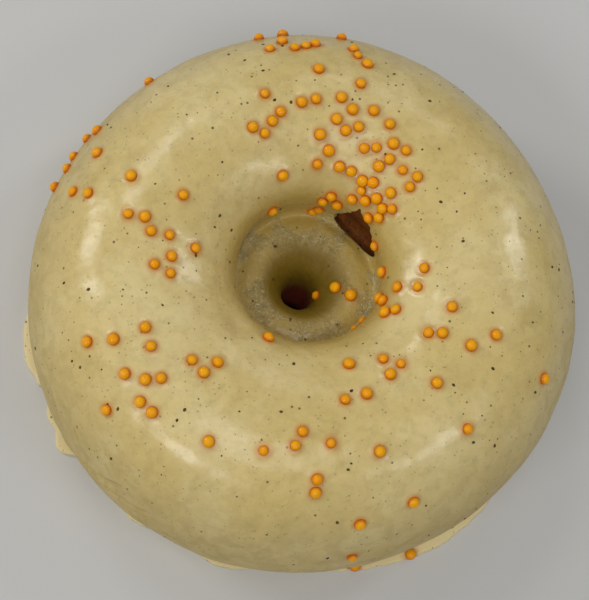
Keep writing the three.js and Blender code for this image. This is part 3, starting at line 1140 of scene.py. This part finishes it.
@dataclass
class DoughRing:
    """The fried dough inside the glaze, flat underneath, with a flare round the hole."""

    shape: RingShape
    depth: float = 1.26
    end_height: float = 5.2
    sole_inner_radius: float = 13.0
    azimuth_steps: int = 300
    face_rows: int = 150
    blister: float = 0.22
    blister_size: float = 1.6

    def _section(self) -> np.ndarray:
        """The dough's section as a closed loop."""
        shape = self.shape
        sole_angle = -math.degrees(math.asin(shape.equator_height / (shape.belly_drop - self.depth)))
        edge = shape.belly(self.depth, sole_angle, shape.neck_angle)[:-1:6]
        edge[0, 1] = 0.0
        ruler = FaceRuler(shape, self.depth)
        distances = np.linspace(ruler.distances[0], ruler.distances[-1], self.face_rows)
        face = np.column_stack(ruler.at(distances))
        throat = shape.throat_radius + self.depth
        flare = super_arc(
            (self.sole_inner_radius, self.end_height),
            (self.sole_inner_radius - throat, self.end_height),
            180,
            270,
            steps=10,
        )
        sole = np.column_stack([np.linspace(self.sole_inner_radius, edge[0, 0], 26)[1:-1], np.zeros(24)])
        return np.vstack([edge, face, flare, sole])

    def build(self) -> bpy.types.Object:
        """Makes the dough's mesh."""
        section = self._section()
        azimuth = (np.arange(self.azimuth_steps) * (360.0 / self.azimuth_steps))[:, None]
        points = self.shape.place(section[None, :, 0], section[None, :, 1], azimuth)
        blisters = field(lambda p: noise.fractal(p / self.blister_size, 0.9, 2.0, 3), points)
        inwards = np.array([0.0, 0.0, self.shape.equator_height]) - points * np.array([0.0, 0.0, 1.0])
        inwards = inwards + (self.shape.crest_radius / np.maximum(section[None, :, :1], 1.0) - 1.0) * (
            points * np.array([1.0, 1.0, 0.0])
        )
        inwards = inwards / np.maximum(np.linalg.norm(inwards, axis=-1, keepdims=True), 1e-6)
        sunk = np.clip(blisters, 0.0, 1.0) * self.blister
        flat = section[None, :, 1] < 0.05
        points = points + inwards * np.where(flat, 0.3 * sunk, sunk)[..., None]
        points[..., 2] = np.maximum(points[..., 2], 0.0)
        faces = ring_faces(len(azimuth), len(section))
        return new_mesh_object("fried_dough", points.reshape(-1, 3), faces)


# ---- what repeats: geometry node recipes ----


class Recipe(NodeGraph):
    """A geometry node tree with named inputs."""

    def __init__(self, name: str) -> None:
        """Makes an empty recipe with a geometry input and output."""
        super().__init__(bpy.data.node_groups.new(name, "GeometryNodeTree"))
        self.sockets: dict[str, str] = {}
        self.tree.interface.new_socket("Geometry", in_out="INPUT", socket_type="NodeSocketGeometry")
        self.tree.interface.new_socket("Geometry", in_out="OUTPUT", socket_type="NodeSocketGeometry")

    def inputs(self, kinds: dict[str, str]) -> None:
        for name, kind in kinds.items():
            made = self.tree.interface.new_socket(name, in_out="INPUT", socket_type=kind)
            self.sockets[name] = made.identifier
        self.source = self.node("NodeGroupInput", {}, {}, 0)

    def given(self, name: str) -> Signal:
        """A named input."""
        return self.sibling(self.source, name)

    def named(self, name: str, kind: str = "FLOAT") -> Signal:
        """A value that the incoming mesh carries."""
        settings = {"data_type": kind}
        return self.node("GeometryNodeInputNamedAttribute", settings, {"Name": name}, "Attribute")

    def stored(self, geometry: Signal, domain: str, layer: Layer, value: Signal) -> Signal:
        """The geometry with a layer's value written on it."""
        settings = {"data_type": "FLOAT", "domain": domain}
        inputs = {"Geometry": geometry, "Name": layer.value, "Value": value}
        return self.node("GeometryNodeStoreNamedAttribute", settings, inputs)

    def instances(self, points: Signal, instance: Signal, rotation: Signal, scale: Signal) -> Signal:
        """One instance on every point."""
        inputs = {"Points": points, "Instance": instance, "Rotation": rotation, "Scale": scale}
        return self.node("GeometryNodeInstanceOnPoints", {}, inputs)

    def finish(self, geometry: Signal, material: Signal) -> None:
        """Realizes the instances, shades them smooth, sets the material and closes the tree."""
        real = self.node("GeometryNodeRealizeInstances", {}, {"Geometry": geometry})
        smooth = self.node("GeometryNodeSetShadeSmooth", {}, {"Geometry": real})
        dressed = self.node("GeometryNodeSetMaterial", {}, {"Geometry": smooth, "Material": material})
        self.node("NodeGroupOutput", {}, {"Geometry": dressed})

    def apply(self, piece: bpy.types.Object, values: dict[str, Any]) -> None:
        """Runs the recipe on a piece and keeps the result as its plain mesh.

        Args:
            piece: The object whose mesh the recipe starts from.
            values: The named inputs' values.
        """
        modifier = piece.modifiers.new(self.tree.name, "NODES")
        modifier.node_group = self.tree
        for name, value in values.items():
            modifier[self.sockets[name]] = value
        made_plain(piece)


@dataclass
class SugarPearls:
    """The orange sugar pearls, sunk a little into the glaze.

    The diameter is that of a ball of scale 1. The usual pearl is a little smaller, and the scales
    are spread about it between the smallest and the largest.
    """

    diameter: float = 1.9
    usual_scale: float = 0.95
    scale_spread: float = 0.07
    smallest_scale: float = 0.8
    largest_scale: float = 1.08
    sunk: float = 0.42
    uneven: float = 0.045
    seed: int = 11

    def recipe(self) -> Recipe:
        """Sets a slightly uneven ball on every seat, its pole pointing out of the glaze."""
        made = Recipe("sugar_pearls")
        made.inputs({
            "Diameter": "NodeSocketFloat",
            "Unevenness": "NodeSocketFloat",
            "Seed": "NodeSocketInt",
            "Material": "NodeSocketMaterial",
        })
        radius = made.given("Diameter") * 0.5
        ball = made.node("GeometryNodeMeshIcoSphere", {}, {"Radius": radius, "Subdivisions": 3})
        place = made.node("GeometryNodeInputPosition", {}, {})
        up = made.sibling(made.node("ShaderNodeSeparateXYZ", {}, {0: place}), "Z")
        # the height on each ball, 0 at its bottom and 1 at its top, which the finish turns into painted
        # shade towards the base
        ball = made.stored(ball, "POINT", Layer.RISE, 0.5 + 0.5 * (up / radius))
        outwards = {"Vector": made.named("outwards", "FLOAT_VECTOR")}
        turn = made.node("FunctionNodeAlignRotationToVector", {"axis": "Z"}, outwards)
        balls = made.instances(made.source, ball, turn, made.named("size"))
        tone = made.node(
            "FunctionNodeRandomValue", {"data_type": "FLOAT"}, {"Seed": made.given("Seed")}, "Value"
        )
        toned = made.stored(balls, "INSTANCE", Layer.TONE, made.sibling(tone, 1))
        real = made.node("GeometryNodeRealizeInstances", {}, {"Geometry": toned})
        bulges = made.node("ShaderNodeTexNoise", {}, {"Vector": place, "Scale": 1.0 / (1.1 * MM)}, "Color")
        reach = 2.0 * made.given("Diameter") * made.given("Unevenness")
        moved = made.vector("SCALE", made.vector("SUBTRACT", bulges, HALF), reach)
        uneven = made.node("GeometryNodeSetPosition", {}, {"Geometry": real, "Offset": moved})
        made.finish(uneven, made.given("Material"))
        return made

    def build(self, coat: GlazeCoat, places: np.ndarray, material: bpy.types.Material) -> bpy.types.Object:
        """Makes the pearls.

        Args:
            coat: The glaze that they sit in.
            places: Points near the glaze, one for each pearl.
            material: Their finish.

        Returns:
            One object that holds them all.
        """
        chance = np.random.default_rng(self.seed)
        seats = [coat.seat(place) for place in places]
        scales = chance.normal(self.usual_scale, self.scale_spread, len(seats))
        sizes = np.clip(scales, self.smallest_scale, self.largest_scale)
        lift = (0.5 - self.sunk) * self.diameter
        centres = np.array([point + normal * lift * size for (point, normal), size in zip(seats, sizes)])
        piece = new_mesh_object("orange_sugar_pearls", centres, np.empty((0, 4), int))
        store(piece, "outwards", [normal for _, normal in seats], "FLOAT_VECTOR")
        store(piece, "size", sizes)
        self.recipe().apply(piece, {
            "Diameter": self.diameter * MM,
            "Unevenness": self.uneven,
            "Seed": self.seed,
            "Material": material,
        })
        return piece


@dataclass
class VanillaSpecks:
    """The larger bits of ground vanilla pod, which lie in the glaze's surface."""

    per_area: float = 0.016
    size: float = 0.5
    smallest_scale: float = 0.3
    largest_scale: float = 1.35
    flatness: float = 0.4
    lowest: float = 0.6
    seed: int = 5

    def recipe(self) -> Recipe:
        """Scatters flattened crumbs over a surface and keeps only the crumbs."""
        made = Recipe("vanilla_specks")
        made.inputs({
            "Density": "NodeSocketFloat",
            "Size": "NodeSocketFloat",
            "Flatness": "NodeSocketFloat",
            "Lowest": "NodeSocketFloat",
            "Seed": "NodeSocketInt",
            "Material": "NodeSocketMaterial",
        })
        crumb = made.node(
            "GeometryNodeMeshIcoSphere", {}, {"Radius": made.given("Size") * 0.5, "Subdivisions": 2}
        )
        squash = made.node("ShaderNodeCombineXYZ", {}, {"X": 1.0, "Y": 0.75, "Z": made.given("Flatness")})
        crumb = made.node("GeometryNodeTransform", {}, {"Geometry": crumb, "Scale": squash})
        place = made.node("GeometryNodeInputPosition", {}, {})
        level = made.sibling(made.node("ShaderNodeSeparateXYZ", {}, {0: place}), "Z")
        spots = made.node(
            "GeometryNodeDistributePointsOnFaces",
            {"distribute_method": "RANDOM"},
            {
                "Mesh": made.source,
                "Selection": 1.0 - (level < made.given("Lowest")),
                "Density": made.given("Density"),
                "Seed": made.given("Seed"),
            },
            "Points",
        )
        spin = made.node(
            "FunctionNodeRandomValue",
            {"data_type": "FLOAT_VECTOR"},
            {0: (0.0, 0.0, 0.0), 1: (0.0, 0.0, 2.0 * math.pi), "Seed": made.given("Seed")},
            0,
        )
        lie = made.node(
            "FunctionNodeRotateRotation",
            {"rotation_space": "LOCAL"},
            {"Rotation": made.sibling(spots, "Rotation"), "Rotate By": spin},
        )
        scale = made.node(
            "FunctionNodeRandomValue",
            {"data_type": "FLOAT"},
            {2: self.smallest_scale, 3: self.largest_scale, "Seed": made.given("Seed") + 1},
            1,
        )
        made.finish(made.instances(spots, crumb, lie, scale), made.given("Material"))
        return made

    def build(self, coat: bpy.types.Object, material: bpy.types.Material) -> bpy.types.Object:
        """Makes the specks.

        Args:
            coat: The glaze's object.
            material: Their finish.

        Returns:
            One object that holds them all.
        """
        piece = linked("vanilla_specks", coat.data.copy())
        self.recipe().apply(piece, {
            "Density": self.per_area / MM**2,
            "Size": self.size * MM,
            "Flatness": self.flatness,
            "Lowest": self.lowest * MM,
            "Seed": self.seed,
            "Material": material,
        })
        return piece


# ---- the studio ----


@dataclass(frozen=True)
class SoftLight:
    """A soft panel of light that faces the doughnut."""

    name: str
    azimuth: float
    elevation: float
    width: float
    height: float
    power: float
    distance: float = 0.9
    colour: Colour = (1.0, 0.985, 0.95)

    def hang(self, target: Vector) -> None:
        """Puts the panel up, facing a target."""
        around, up = math.radians(self.azimuth), math.radians(self.elevation)
        away = Vector((math.cos(around) * math.cos(up), math.sin(around) * math.cos(up), math.sin(up)))
        light = bpy.data.lights.new(self.name, "AREA")
        light.shape = "RECTANGLE"
        light.size, light.size_y = self.width, self.height
        light.energy = self.power
        light.color = self.colour
        lamp = linked(self.name, light)
        lamp.location = target + away * self.distance
        lamp.rotation_euler = (-away).to_track_quat("-Z", "Y").to_euler()


@dataclass
class Studio:
    """The pale floor, the soft light and the camera."""

    target: tuple[float, float, float] = (0.0, -0.45, 15.0)
    view: tuple[float, float] = (-0.12, -0.26)
    distance: float = 300.0
    aim: tuple[float, float] = (-1.02, 0.42)
    lens: float = 107.8
    floor_half: float = 2.0
    floor_drop: float = 0.02
    sky: Colour = (0.93, 0.96, 1.0)
    sky_strength: float = 0.2
    lights: tuple[SoftLight, ...] = (
        SoftLight("window_low", 157, 31, 0.24, 0.38, 1.75),
        SoftLight("window_high", 118, 55, 0.26, 0.14, 0.6),
        SoftLight("left_panel", 228, 44, 0.46, 0.22, 1.6),
        SoftLight("right_panel", 30, 43, 0.11, 0.26, 0.6),
        SoftLight("front_right_panel", 323, 48, 0.26, 0.14, 0.55),
        SoftLight("back_panel", 67, 42, 0.26, 0.16, 0.2),
        SoftLight("ceiling", 262, 76, 0.40, 0.40, 1.2),
    )

    def build(self) -> None:
        """Makes the floor, the light and the camera."""
        self._floor()
        world = bpy.data.worlds.new("soft_sky")
        world.use_nodes = True
        background = world.node_tree.nodes["Background"]
        background.inputs["Color"].default_value = (*self.sky, 1.0)
        background.inputs["Strength"].default_value = self.sky_strength
        bpy.context.scene.world = world
        for light in self.lights:
            light.hang(Vector(self.target) * MM)
        self._camera()
        bpy.context.scene.view_settings.view_transform = "Standard"

    def _floor(self) -> None:
        """Lays the floor just under the doughnut's sole."""
        half = self.floor_half
        mesh = bpy.data.meshes.new("pale_floor")
        below = -self.floor_drop * MM
        corners = [(-half, -half, below), (half, -half, below), (half, half, below), (-half, half, below)]
        mesh.from_pydata(corners, [], [(0, 1, 2, 3)])
        floor = linked("pale_floor", mesh)
        mesh.materials.append(FloorFinish().build())

    def _camera(self) -> None:
        """Hangs the camera nearly overhead, leaning towards the front left."""
        lens = bpy.data.cameras.new("camera")
        lens.lens = self.lens
        lens.clip_start, lens.clip_end = 0.01, 20.0
        camera = linked("camera", lens)
        away = Vector((*self.view, math.sqrt(1.0 - self.view[0] ** 2 - self.view[1] ** 2)))
        right = Vector((0.0, 1.0, 0.0)).cross(away).normalized()
        over = away.cross(right)
        centre = Vector(self.target) + right * self.aim[0] + over * self.aim[1]
        camera.location = (centre + away * self.distance) * MM
        camera.rotation_mode = "QUATERNION"
        camera.rotation_quaternion = Matrix((right, over, away)).transposed().to_quaternion()
        bpy.context.scene.camera = camera


# ---- putting it together ----


def pearl_nodes() -> list[str]:
    """The construction model's pearls, in order."""
    return sorted(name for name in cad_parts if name.startswith("sugar_pearl"))


def pearl_places(shape: RingShape) -> np.ndarray:
    """A point near the glaze for each pearl.

    Args:
        shape: The ring that the listed spots are measured over.

    Returns:
        The construction model's pearls first, then the spots that it leaves out.
    """
    built = [(low + high) / 2 / MM for low, high in map(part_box, pearl_nodes())]
    spots = PearlSpots().listed()
    radius, height = FaceRuler(shape).at(spots[:, 1])
    return np.vstack([np.array(built), shape.place(radius, height, spots[:, 0])])


def dress(piece: bpy.types.Object, slot: Slot, material: bpy.types.Material, *nodes: str) -> None:
    """Gives a finished piece its material and body, and hides the construction model's nodes that it
    stands for.

    Args:
        piece: The finished piece.
        slot: The record's slot that it takes its finish from; not used.
        material: Its material.
        *nodes: The construction model's nodes that it replaces.
    """
    piece.data.materials.clear()
    piece.data.materials.append(material)
    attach(piece, BODY)
    if nodes:
        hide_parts(*nodes)
    piece.data.calc_loop_triangles()
    LOG.info("%s: %d triangles", piece.name, len(piece.data.loop_triangles))


def main() -> None:
    """Builds the doughnut's pieces in order, then the studio."""
    logging.basicConfig(level=logging.INFO, format="%(name)s: %(message)s")
    shape = RingShape()
    places = pearl_places(shape)
    coat = GlazeCoat(shape, GlazeFoot(), places)
    glaze = coat.build()
    BarePatch(shape).cut(glaze)
    pod, sugar = SpeckFinish().build(), PearlFinish().build()
    specks = VanillaSpecks().build(glaze, pod)
    pearls = SugarPearls().build(coat, places, sugar)
    dough = DoughRing(shape).build()
    dress(dough, Slot.DOUGH, CrustFinish().build(), "dough_ring")
    dress(glaze, Slot.GLAZE, GlazeFinish().build(), "glaze_coat")
    dress(specks, Slot.GLAZE, pod)
    dress(pearls, Slot.PEARLS, sugar, *pearl_nodes())
    Studio().build()


if __name__ == "__main__":
    main()
